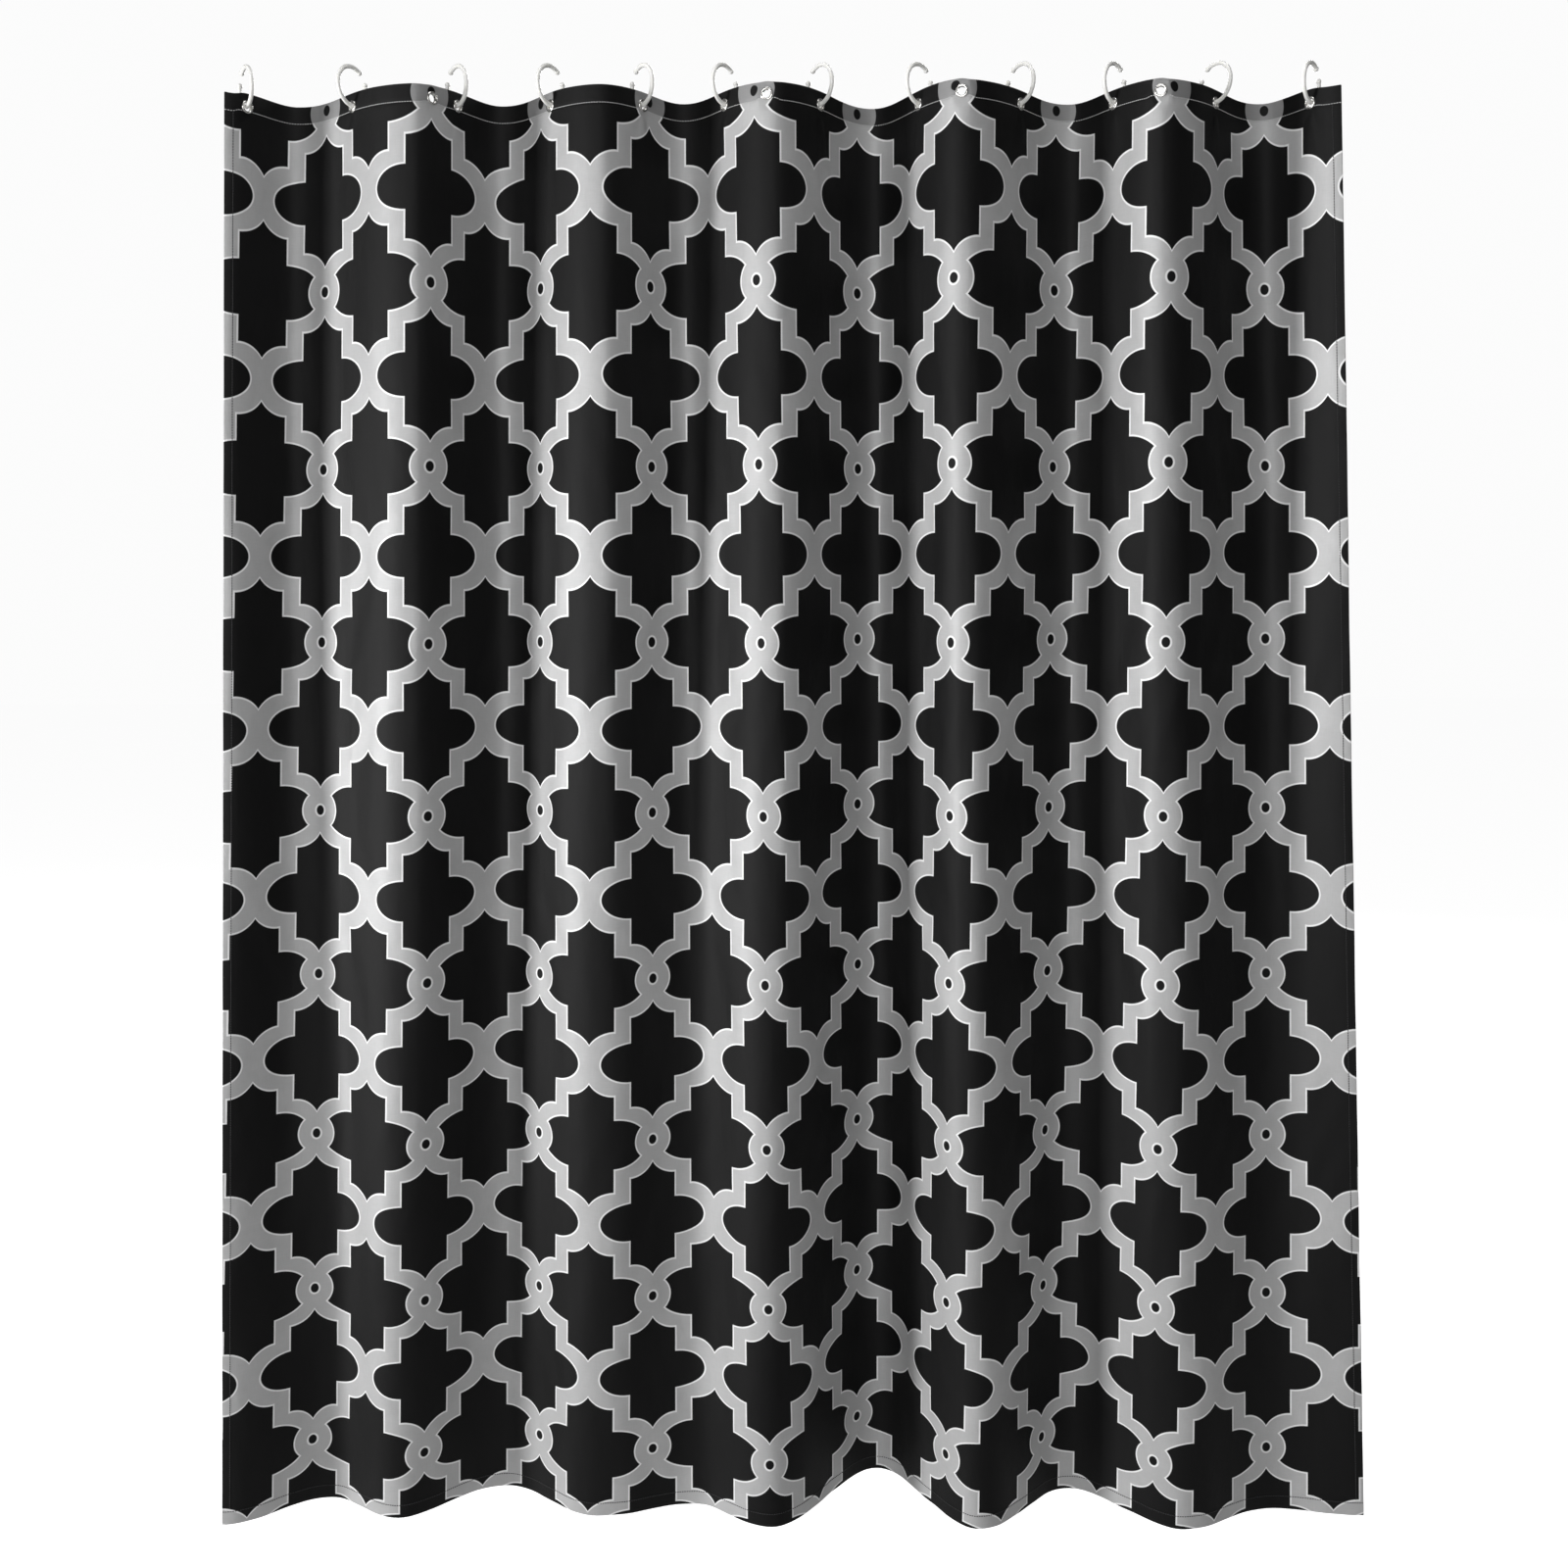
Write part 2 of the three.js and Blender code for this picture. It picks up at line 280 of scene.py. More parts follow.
def hang_edge(width, middle, shares, depths, flat_width):
    """Deepens or flattens the folds until the edge holds the whole flat width."""
    low, high = 0.0, 10.0
    for _ in range(50):
        factor = (low + high) / 2
        if HungEdge(width, middle, shares, depths * factor).length < flat_width:
            low = factor
        else:
            high = factor
    return HungEdge(width, middle, shares, depths * high)


def smooth_step(low, high, value):
    part = np.clip((value - low) / (high - low), 0, 1)
    return part * part * (3 - 2 * part)


class HungCloth:
    """Every point of the hung panel."""

    def __init__(self):
        sizes, eyelets = settings("curtain_cloth_sizes"), settings("curtain_eyelets")
        folds = np.array(FOLDS, float)
        self.width, self.drop = sizes.width, sizes.drop
        self.sag, self.wrinkle = sizes.sag, sizes.wrinkle
        self.front = -sizes.thickness / 2
        self.top = hang_edge(sizes.hung_top, 0.0, folds[:, 0], folds[:, 1] * MM, self.width)
        self.bottom = hang_edge(
            sizes.hung_bottom, sizes.bottom_shift, folds[:, 2], folds[:, 3] * MM, self.width
        )
        low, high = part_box("curtain_cloth")
        self.top_z = high[2]
        self.ringed = [self.top.crossing(i) for i in range(1, len(FOLDS))]
        self.spare = [self.top.fold_at[fold] + along * MM for fold, along in SPARE_PLACES]
        self.inset, self.flat = eyelets.inset, eyelets.flat
        self.seats = [self.seat(across) for across in [*self.ringed, *self.spare]]

    def base(self, across, down):
        """The ruled surface between the two edges."""
        part = down / self.drop
        top_x, top_y = self.top.at(across)
        low_x, low_y = self.bottom.at(across)
        x = top_x + (low_x - top_x) * part
        y = top_y + (low_y - top_y) * part
        return np.stack([x, y, self.top_z - down + 0 * x], axis=-1)

    def normal(self, across, down):
        """The unit direction to the back."""
        step = 2 * MM
        along = self.base(np.minimum(across + step, self.width), down) - self.base(
            np.maximum(across - step, 0), down
        )
        fall = self.base(across, down + step) - self.base(across, down - step)
        out = np.cross(along, fall)
        return out / np.linalg.norm(out, axis=-1, keepdims=True)

    def seat(self, across):
        """The flat place that an eyelet sits on: its centre, the ways along, down and back."""
        half = self.flat / 2
        left = self.base(np.array(across - half), np.array(self.inset))
        right = self.base(np.array(across + half), np.array(self.inset))
        low = self.base(np.array(across - half), np.array(self.inset + half))
        along = (right - left) / np.linalg.norm(right - left)
        back = np.cross(right - left, low - left)
        back /= np.linalg.norm(back)
        return across, (left + right) / 2, along, np.cross(back, along), back

    def waves(self, across, down):
        """Small soft waves, long down the cloth and short across it, calm near the top hem."""
        swell = 0 * across
        for size, wide, tall, turn in (
            (0.36, 0.31, 2.9, 0.4),
            (0.30, 0.173, 1.9, 2.1),
            (0.22, 0.117, 1.3, 4.4),
            (0.16, 0.071, 0.83, 1.3),
            (0.10, 0.043, 0.61, 5.2),
        ):
            drift = 0.05 * np.sin(2 * np.pi * down / tall + turn)
            swell += size * np.sin(2 * np.pi * (across + drift) / wide + 3 * turn)
        fade = 0.25 + 0.75 * smooth_step(0.02, 0.5, down)
        return self.wrinkle * swell * fade

    def pulls(self, across, down):
        """Short creases that run down and out from each ringed eyelet."""
        crease = 0 * across
        for at in self.ringed:
            side = across - at
            below = down - self.inset
            for slope, size in ((-0.34, 0.7), (-0.1, -0.55), (0.13, -0.5), (0.38, 0.65)):
                off = (side - slope * below) / (0.0035 + 0.045 * np.maximum(below, 0))
                crease += size * np.exp(-off * off) * smooth_step(0.006, 0.02, below)
        return 0.0011 * crease * np.exp(-np.maximum(down - self.inset, 0) / 0.06)

    def drooped(self, across, down):
        """How far the cloth hangs lower between two ringed eyelets."""
        marks = np.array([-self.ringed[0] * 0.4, *self.ringed, self.width + 0.02])
        place = np.interp(across, marks, np.arange(len(marks)))
        return self.sag * np.sin(np.pi * place) ** 2 * np.exp(-down / 0.10)

    def at(self, across, down, back):
        """The point at a flat place, a distance behind the middle of the cloth."""
        across, down, back = np.broadcast_arrays(
            np.asarray(across, float), np.asarray(down, float), np.asarray(back, float)
        )
        normal = self.normal(across, down)
        lift = self.waves(across, down) + self.pulls(across, down)
        point = self.base(across, down) + normal * (back + lift)[..., None]
        point[..., 2] -= self.drooped(across, down)
        for at, centre, along, fall, out in self.seats:
            side, low = across - at, down - self.inset
            held = 1 - smooth_step(0.0095, 0.019, np.hypot(side, low))
            if not held.any():
                continue
            flat = (
                centre
                + along * side[..., None]
                + fall * low[..., None]
                + out * back[..., None]
            )
            point += (flat - point) * held[..., None]
        return point


# ---------------------------------------------------------------- mesh helpers


def new_object(name, points, faces, flat=None):
    """A mesh object at the origin. flat holds each point's place on the panel, for the UV map."""
    mesh = bpy.data.meshes.new(name)
    mesh.from_pydata([tuple(p) for p in points], [], [tuple(f) for f in faces])
    if flat is not None:
        layer = mesh.uv_layers.new(name="flat")
        corners = np.zeros(len(mesh.loops), np.int32)
        mesh.loops.foreach_get("vertex_index", corners)
        layer.data.foreach_set("uv", np.asarray(flat, np.float32)[corners].ravel())
    mesh.polygons.foreach_set("use_smooth", [True] * len(mesh.polygons))
    mesh.update()
    piece = bpy.data.objects.new(name, mesh)
    bpy.context.scene.collection.objects.link(piece)
    return piece


def grid_faces(rows, columns):
    """Faces of a grid of points that is stored row by row, the first row on top."""
    corner = (np.arange(rows - 1)[:, None] * columns + np.arange(columns - 1)).ravel()
    return np.stack([corner, corner + columns, corner + columns + 1, corner + 1], axis=1)


def spaced(low, high, step):
    return np.linspace(low, high, max(2, int(round((high - low) / step)) + 1))


def turned_faces(count, sides):
    """Faces between rings of points that go round an axis, the last ring joined to the first."""
    faces = []
    for j in range(count):
        for i in range(sides):
            k = (i + 1) % sides
            n = (j + 1) % count
            faces.append((j * sides + i, j * sides + k, n * sides + k, n * sides + i))
    return faces


# ---------------------------------------------------------------- node helpers


class Term:
    """A number in a node tree, so that a sum of nodes reads as a sum."""

    def __init__(self, tree, value):
        self.tree, self.value = tree, value

    def maths(self, operation, *others):
        node = self.tree.nodes.new("ShaderNodeMath")
        node.operation = operation
        for i, term in enumerate((self, *others)):
            put(self.tree, node.inputs[i], term)
        return Term(self.tree, node.outputs[0])

    def __add__(self, other):
        return self.maths("ADD", other)

    def __radd__(self, other):
        return self.maths("ADD", other)

    def __sub__(self, other):
        return self.maths("SUBTRACT", other)

    def __rsub__(self, other):
        return Term(self.tree, other).maths("SUBTRACT", self)

    def __mul__(self, other):
        return self.maths("MULTIPLY", other)

    def __rmul__(self, other):
        return self.maths("MULTIPLY", other)

    def __truediv__(self, other):
        return self.maths("DIVIDE", other)

    def step(self, low, high):
        """0 below low, 1 above high, smooth between."""
        node = self.tree.nodes.new("ShaderNodeMapRange")
        node.interpolation_type = "SMOOTHSTEP"
        for name, term in (("Value", self), ("From Min", low), ("From Max", high)):
            put(self.tree, node.inputs[name], term)
        return Term(self.tree, node.outputs["Result"])


def put(tree, socket, value):
    """Links a term or a socket into a socket, or sets its number or colour."""
    if isinstance(value, Term):
        value = value.value
    if isinstance(value, bpy.types.NodeSocket):
        tree.links.new(value, socket)
    elif hasattr(value, "__len__") and len(value) == 3 and socket.type == "RGBA":
        socket.default_value = (*value, 1.0)
    else:
        socket.default_value = value


def new_group(name, inputs, outputs):
    """A shader group with float, vector or colour sockets: {name: (type, default)}."""
    tree = bpy.data.node_groups.new(name, "ShaderNodeTree")
    for label, (kind, default) in inputs.items():
        socket = tree.interface.new_socket(label, in_out="INPUT", socket_type="NodeSocket" + kind)
        if default is not None:
            socket.default_value = default
    for label, kind in outputs.items():
        tree.interface.new_socket(label, in_out="OUTPUT", socket_type="NodeSocket" + kind)
    start = tree.nodes.new("NodeGroupInput")
    end = tree.nodes.new("NodeGroupOutput")
    return tree, start.outputs, end.inputs


def group_node(tree, group, **values):
    node = tree.nodes.new("ShaderNodeGroup")
    node.node_tree = group
    for label, value in values.items():
        put(tree, node.inputs[label.replace("_", " ")], value)
    return node.outputs


def split(tree, vector):
    node = tree.nodes.new("ShaderNodeSeparateXYZ")
    put(tree, node.inputs[0], vector)
    return [Term(tree, socket) for socket in node.outputs]


def mixed(tree, amount, first, second):
    """A colour between two others."""
    node = tree.nodes.new("ShaderNodeMix")
    node.data_type = "RGBA"
    colours = [socket for socket in node.inputs if socket.type == "RGBA"]
    put(tree, node.inputs[0], amount)
    put(tree, colours[0], first)
    put(tree, colours[1], second)
    return next(socket for socket in node.outputs if socket.type == "RGBA")


def noise(tree, vector, scale, detail=2.0, rough=0.5):
    node = tree.nodes.new("ShaderNodeTexNoise")
    put(tree, node.inputs["Vector"], vector)
    put(tree, node.inputs["Scale"], scale)
    put(tree, node.inputs["Detail"], detail)
    put(tree, node.inputs["Roughness"], rough)
    return Term(tree, node.outputs["Fac"])


def stretched(tree, vector, scale):
    node = tree.nodes.new("ShaderNodeMapping")
    put(tree, node.inputs["Vector"], vector)
    node.inputs["Scale"].default_value = scale
    return node.outputs[0]


def bumped(tree, height, distance, strength=1.0, under=None):
    node = tree.nodes.new("ShaderNodeBump")
    put(tree, node.inputs["Height"], height)
    node.inputs["Distance"].default_value = distance
    node.inputs["Strength"].default_value = strength
    if under is not None:
        put(tree, node.inputs["Normal"], under)
    return node.outputs[0]


def new_material(name):
    material = bpy.data.materials.new(name)
    material.use_nodes = True
    tree = material.node_tree
    return material, tree, tree.nodes["Principled BSDF"].inputs


# ---------------------------------------------------------------- shared effects


def oval(x, y, wide, tall):
    """Roughly how far a point is outside an ellipse round the origin, in the units of its sizes."""
    value = (x / wide).maths("POWER", 2.0) + (y / tall).maths("POWER", 2.0)
    slope = (x / wide**2).maths("POWER", 2.0) + (y / tall**2).maths("POWER", 2.0)
    return (value - 1) / (2 * slope.maths("SQRT")).maths("MAXIMUM", 1e-4)


def stepped_column(x, y, half, shoulder, bow):
    """How far a point is outside the tall middle of a trellis cell, which ends in a pointed arch."""
    arch = shoulder + bow - (bow**2 - (half - x).maths("POWER", 2.0)).maths("SQRT")
    return (x - half).maths("MAXIMUM", (y - arch) * 0.85)


def trellis_group():
    """A trellis of bands, with small rings where the cells meet.

    The sizes inside are in mm, for one repeat of 168 by 214.7. The repeat is stretched to the size asked for.
    """
    tree, given, made = new_group(
        "trellis_print",
        {
            "Flat": ("Vector", None),
            "Repeat Across": ("Float", 0.17),
            "Repeat Down": ("Float", 0.21),
            "Start Across": ("Float", 0.0),
            "Start Down": ("Float", 0.0),
            "Lean": ("Float", 0.0),
            "Outline": ("Float", 0.002),
        },
        {"Band": "Float", "Outline": "Float"},
    )
    half_wide, half_tall = 84.0, 107.35

    def get(label):
        return Term(tree, given[label])

    across, down, _ = split(tree, given["Flat"])
    slipped = across - get("Start Across") + get("Lean") * down
    u = (slipped / get("Repeat Across") * (2 * half_wide)).maths("PINGPONG", half_wide)
    v = ((down - get("Start Down")) / get("Repeat Down") * (2 * half_tall)).maths("PINGPONG", half_tall)
    soft = 0.25
    ring = oval(u, v, 25.0, 26.5)
    hole = oval(u, v, 5.2, 6.3)
    from_first = half_wide - u
    first_column = stepped_column(from_first, v, 31.4, 64.0, 37.3)
    first_lobe = oval((from_first - 31.4).maths("MAXIMUM", 0.0), v, 43.4, 32.5)
    first_lobe = first_lobe.maths("MAXIMUM", ring * -1)
    from_second = half_tall - v
    second_column = stepped_column(u, from_second, 30.3, 59.0, 34.2)
    second_lobe = oval((u - 30.3).maths("MAXIMUM", 0.0), from_second, 38.5, 25.5)
    away = hole
    for shape in (first_column, first_lobe, second_column, second_lobe):
        away = away.maths("MINIMUM", shape)
    band = away.step(-soft, soft)
    wide = get("Outline") * 1000
    line = band * (1 - away.step(wide - 2 * soft, wide + 2 * soft))
    put(tree, made["Band"], band)
    put(tree, made["Outline"], line)
    return tree


def weave_group():
    """A plain weave of fine threads, as a height and a faint shade."""
    tree, given, made = new_group(
        "plain_weave",
        {"Flat": ("Vector", None), "Threads": ("Float", 2400.0)},
        {"Height": "Float", "Shade": "Float"},
    )
    across, down, _ = split(tree, given["Flat"])
    threads = Term(tree, given["Threads"])
    column, row = across * threads, down * threads
    warp = (column * math.pi).maths("SINE").maths("ABSOLUTE")
    weft = (row * math.pi).maths("SINE").maths("ABSOLUTE")
    over = (column.maths("FLOOR") + row.maths("FLOOR")).maths("PINGPONG", 1.0)
    woven = warp * over + weft * (1 - over)
    slub = noise(tree, stretched(tree, given["Flat"], (900.0, 60.0, 1.0)), 1.0, 3.0)
    slub_down = noise(tree, stretched(tree, given["Flat"], (60.0, 900.0, 1.0)), 1.0, 3.0)
    put(tree, made["Height"], woven * 0.7 + slub * 0.3)
    put(tree, made["Shade"], (slub + slub_down) * 0.5)
    return tree


def wear_group():
    """Fine scratches and smudges for hard, handled surfaces."""
    tree, given, made = new_group(
        "fine_wear",
        {"Place": ("Vector", None), "Scale": ("Float", 400.0)},
        {"Smudge": "Float", "Scratch": "Float"},
    )
    scale = Term(tree, given["Scale"])
    smudge = noise(tree, given["Place"], scale, 4.0, 0.6)
    line = noise(tree, stretched(tree, given["Place"], (9.0, 1.0, 9.0)), scale, 3.0, 0.7)
    put(tree, made["Smudge"], smudge)
    put(tree, made["Scratch"], (line - 0.5).maths("ABSOLUTE").step(0.0, 0.03))
    return tree


def shared(name, maker):
    return bpy.data.node_groups.get(name) or maker()


# ---------------------------------------------------------------- materials


def flat_place(tree):
    node = tree.nodes.new("ShaderNodeUVMap")
    node.uv_map = "flat"
    return node.outputs[0]


def object_place(tree):
    return tree.nodes.new("ShaderNodeTexCoord").outputs["Object"]


def printed_cloth_material():
    """Black woven polyester with a satin grey print on its face and a dull ghost of it behind, with painted
    shade darkening the print above the top hem's stitches.
    """
    found = bpy.data.materials.get("printed_cloth")
    if found:
        return found
    look, sizes = settings("curtain_print"), settings("curtain_cloth_sizes")
    material, tree, surface = new_material("printed_cloth")
    flat = flat_place(tree)
    trellis = group_node(
        tree,
        shared("trellis_print", trellis_group),
        Flat=flat,
        Repeat_Across=look.across,
        Repeat_Down=look.down,
        Start_Across=look.start_across,
        Start_Down=look.start_down,
        Lean=look.lean,
        Outline=look.outline,
    )
    weave = group_node(tree, shared("plain_weave", weave_group), Flat=flat)
    band, line = Term(tree, trellis["Band"]), Term(tree, trellis["Outline"])
    _, down, _ = split(tree, flat)
    # painted shade: above the top hem's stitches the grey print is darkened to the header share of its
    # brightness
    header = down.step(sizes.top_hem - 0.0022, sizes.top_hem - 0.0012)
    mottle = noise(tree, flat, 38.0, 4.0, 0.6)
    grain = Term(tree, weave["Shade"])
    grey = mixed(tree, line * 0.95, look.grey, look.light)
    ink = mixed(tree, header, [look.header * part for part in look.grey], grey)
    face = mixed(tree, band, look.black, ink)
    toned = tree.nodes.new("ShaderNodeHueSaturation")
    put(tree, toned.inputs["Color"], face)
    put(tree, toned.inputs["Value"], 0.80 + mottle * 0.16 + grain * 0.24)
    ghost = mixed(tree, band * 0.55, (0.020, 0.020, 0.021), (0.11, 0.11, 0.112))
    behind = Term(tree, tree.nodes.new("ShaderNodeNewGeometry").outputs["Backfacing"])
    put(tree, surface["Base Color"], mixed(tree, behind, toned.outputs[0], ghost))
    satin = band * (1 - behind)
    put(tree, surface["Metallic"], satin * 0.2)
    put(tree, surface["Roughness"], 0.56 - satin * 0.12 + behind * 0.2 + grain * 0.06)
    surface["Specular IOR Level"].default_value = 0.2
    surface["Sheen Weight"].default_value = 0.004
    surface["Sheen Roughness"].default_value = 0.5
    cockle = noise(tree, stretched(tree, flat, (70.0, 22.0, 1.0)), 1.0, 3.0, 0.5)
    soft = bumped(tree, cockle, 0.0011, 0.5)
    put(tree, surface["Normal"], bumped(tree, weave["Height"], 0.00006, 0.7, soft))
    return material


def thread_material(name, tint):
    """Twisted sewing thread."""
    material, tree, surface = new_material(name)
    place = object_place(tree)
    fibre = noise(tree, place, 5200.0, 3.0, 0.6)
    put(tree, surface["Base Color"], mixed(tree, fibre, [0.75 * part for part in tint], tint))
    put(tree, surface["Roughness"], 0.46 + fibre * 0.2)
    surface["Sheen Weight"].default_value = 0.1
    put(tree, surface["Normal"], bumped(tree, fibre, 0.00005, 0.6))
    return material


def nickel_material():
    """Bright nickel plate with faint turning marks."""
    material, tree, surface = new_material("nickel_plate")
    tint = settings("curtain_eyelets").metal
    wear = group_node(tree, shared("fine_wear", wear_group), Place=object_place(tree), Scale=420.0)
    smudge, scratch = Term(tree, wear["Smudge"]), Term(tree, wear["Scratch"])
    put(tree, surface["Base Color"], mixed(tree, smudge, [0.82 * part for part in tint], tint))
    surface["Metallic"].default_value = 1.0
    put(tree, surface["Roughness"], 0.14 + smudge * 0.16 + (1 - scratch) * 0.08)
    put(tree, surface["Normal"], bumped(tree, smudge * 0.6 + scratch * 0.4, 0.00003, 0.5))
    return material


def white_plastic_material():
    """Glossy moulded plastic with a faint flow mottle."""
    material, tree, surface = new_material("white_plastic")
    tint = settings("curtain_rings").plastic
    wear = group_node(tree, shared("fine_wear", wear_group), Place=object_place(tree), Scale=260.0)
    smudge, scratch = Term(tree, wear["Smudge"]), Term(tree, wear["Scratch"])
    warm = (tint[0] * 0.93, tint[1] * 0.92, tint[2] * 0.88)
    put(tree, surface["Base Color"], mixed(tree, smudge, warm, tint))
    put(tree, surface["Roughness"], 0.26 + smudge * 0.14 + (1 - scratch) * 0.06)
    surface["Subsurface Weight"].default_value = 0.12
    surface["Subsurface Radius"].default_value = (0.004, 0.004, 0.0035)
    surface["Coat Weight"].default_value = 0.15
    put(tree, surface["Normal"], bumped(tree, smudge + scratch * 0.3, 0.00004, 0.4))
    return material


# ---------------------------------------------------------------- cloth


def cloth_columns(cloth):
    """Places across the panel, close together round each eyelet."""
    marks = [0.0]
    for at in sorted([*cloth.ringed, *cloth.spare]):
        marks += [at - CLOSE_REACH, at + CLOSE_REACH]
    marks.append(cloth.width)
    columns = []
    for i in range(len(marks) - 1):
        step = CLOSE_STEP if i % 2 else WIDE_STEP
        columns.append(spaced(marks[i], marks[i + 1], step)[:-1])
    return np.concatenate([*columns, [cloth.width]])


def cloth_rows(cloth, first, last):
    """Places down the panel, close together in the top hem."""
    close = spaced(first, CLOSE_END, CLOSE_STEP)
    steps = np.minimum(0.0024 * 1.22 ** np.arange(400), TALL_STEP)
    wide = np.concatenate([[0.0], np.cumsum(steps)])
    wide = CLOSE_END + wide * ((last - CLOSE_END) / wide[np.searchsorted(wide, last - CLOSE_END)])
    return np.concatenate([close[:-1], wide[wide <= last + 1e-9]])


def punch(flat, faces, cloth, cut=True):
    """Opens a round hole under each eyelet's flange, in the points that cut marks.

    flat holds the points' places across and down.
    """
    keep = np.ones(len(faces), bool)
    for at in [*cloth.ringed, *cloth.spare]:
        offset = flat - (at, cloth.inset)
        away = np.hypot(offset[:, 0], offset[:, 1])
        keep &= ~((away < HOLE_REACH) & cut)[faces].all(axis=1)
        inner = (away < HOLE_EDGE) & cut & (away > 1e-9)
        flat[inner] = (at, cloth.inset) + offset[inner] * (HOLE_EDGE / away[inner])[:, None]
    return faces[keep]


def without_loose(faces, *lists):
    """Drops the points that no face uses, from each of the lists."""
    used = np.unique(faces)
    order = np.full(len(lists[0]), -1)
    order[used] = np.arange(len(used))
    return (order[faces], *(values[used] for values in lists))


def make_cloth():
    cloth = HungCloth()
    sizes = settings("curtain_cloth_sizes")
    side = (sizes.side_back - cloth.front) / 2
    turn = (sizes.hem_back - cloth.front) / 2
    columns = cloth_columns(cloth)
    columns[0], columns[-1] = side, cloth.width - side
    rows = cloth_rows(cloth, turn, cloth.drop - turn)
    down, across = np.meshgrid(rows, columns, indexing="ij")
    flat = np.stack([across.ravel(), down.ravel()], axis=1)
    faces = punch(flat, grid_faces(len(rows), len(columns)), cloth)
    faces, flat = without_loose(faces, flat)
    in_groove = np.abs(flat[:, 1] - (sizes.top_hem - TOP_SEAM_INSET)) < GROOVE_HALF
    points = cloth.at(flat[:, 0], flat[:, 1], cloth.front + SEAM_GROOVE * in_groove)
    piece = new_object("printed_panel", points, faces, flat)
    piece.data.materials.append(printed_cloth_material())
    return piece


def folded_profile(front, back, depth, tuck):
    """A hem's section, as pairs of (distance from the edge, back).

    It goes round the edge from the front sheet to the back one, and is turned in at its end.
    """
    radius = (back - front) / 2
    middle = (back + front) / 2
    points = []
    for angle in np.linspace(0, math.pi, 9):
        points.append((radius * (1 - math.sin(angle)), middle - radius * math.cos(angle)))
    straight = max(2, int(depth / 0.0022))
    for part in np.linspace(0, 1, straight + 1)[1:]:
        points.append((radius + (depth - tuck - radius) * part, back))
    for angle in np.linspace(0, math.pi, 7)[1:]:
        points.append((depth - tuck + tuck * math.sin(angle), back - tuck * (1 - math.cos(angle))))
    return np.array(points)


def walked(profile):
    """Distance along a section, for the print that goes on round the fold."""
    steps = np.hypot(*np.diff(profile, axis=0).T)
    return np.concatenate([[0.0], np.cumsum(steps)])


def make_hem(name, cloth, edge, profile, stations):
    """A folded hem along one edge of the panel."""
    trail = walked(profile)
    start = profile[0, 0]
    count, wide = len(profile), len(stations)
    depth = np.repeat(profile[:, 0], wide)
    back = np.repeat(profile[:, 1], wide)
    printed = np.repeat(start - trail, wide)
    along = np.tile(stations, count)
    if edge == "top":
        place, shown = (along, depth), (along, printed)
    elif edge == "bottom":
        place, shown = (along, cloth.drop - depth), (along, cloth.drop - printed)
    elif edge == "left":
        place, shown = (depth, along), (printed, along)
    else:
        place, shown = (cloth.width - depth, along), (cloth.width - printed, along)
    flat = np.stack(place, axis=1)
    shown = np.stack(shown, axis=1)
    faces = grid_faces(count, wide)
    if edge in ("top", "right"):
        faces = faces[:, ::-1]
    if edge == "top":
        faces = punch(flat, faces, cloth, back > cloth.front + BEHIND_FRONT)
    points = cloth.at(flat[:, 0], flat[:, 1], back)
    faces, points, shown = without_loose(faces, points, shown)
    piece = new_object(name, points, faces, shown)
    piece.data.materials.append(printed_cloth_material())
    return piece


def make_hems():
    cloth = HungCloth()
    sizes = settings("curtain_cloth_sizes")
    columns = cloth_columns(cloth)
    columns[0], columns[-1] = HEM_END, cloth.width - HEM_END
    tall = folded_profile(cloth.front, sizes.hem_back, sizes.top_hem, HEM_TUCK)
    low = folded_profile(cloth.front, sizes.hem_back, sizes.bottom_hem, HEM_TUCK)
    thin = folded_profile(cloth.front, sizes.side_back, sizes.side_hem, SIDE_HEM_TUCK)
    rows = spaced(SIDE_HEM_END, cloth.drop - SIDE_HEM_END, SIDE_HEM_STEP)
    return {
        "top_hem": make_hem("top_hem_fold", cloth, "top", tall, columns),
        "bottom_hem": make_hem("bottom_hem_fold", cloth, "bottom", low, columns),
        "left_side_hem": make_hem("left_hem_fold", cloth, "left", thin, rows),
        "right_side_hem": make_hem("right_hem_fold", cloth, "right", thin, rows),
    }


# ---------------------------------------------------------------- stitches


def line_tree(name, **lengths):
    """A node tree that takes lines of edges, some lengths and a material.

    Returns the tree, its inputs and the lines as curves.
    """
    tree = bpy.data.node_groups.new(name, "GeometryNodeTree")
    tree.interface.new_socket("Geometry", in_out="INPUT", socket_type="NodeSocketGeometry")
    for label, default in lengths.items():
        socket = tree.interface.new_socket(label, in_out="INPUT", socket_type="NodeSocketFloat")
        socket.default_value = default
    tree.interface.new_socket("Finish", in_out="INPUT", socket_type="NodeSocketMaterial")
    tree.interface.new_socket("Geometry", in_out="OUTPUT", socket_type="NodeSocketGeometry")
    given = tree.nodes.new("NodeGroupInput").outputs
    curves = tree.nodes.new("GeometryNodeMeshToCurve")
    tree.links.new(given["Geometry"], curves.inputs["Mesh"])
    return tree, given, curves.outputs[0]


def hand_out(tree, given, geometry):
    """Smooths what a line tree has made, gives it the material and ends the tree."""
    new, link = tree.nodes.new, tree.links.new
    smooth = new("GeometryNodeSetShadeSmooth")
    link(geometry, smooth.inputs[0])
    finish = new("GeometryNodeSetMaterial")
    link(smooth.outputs[0], finish.inputs["Geometry"])
    link(given["Finish"], finish.inputs["Material"])
    link(finish.outputs[0], new("NodeGroupOutput").inputs["Geometry"])
    return tree


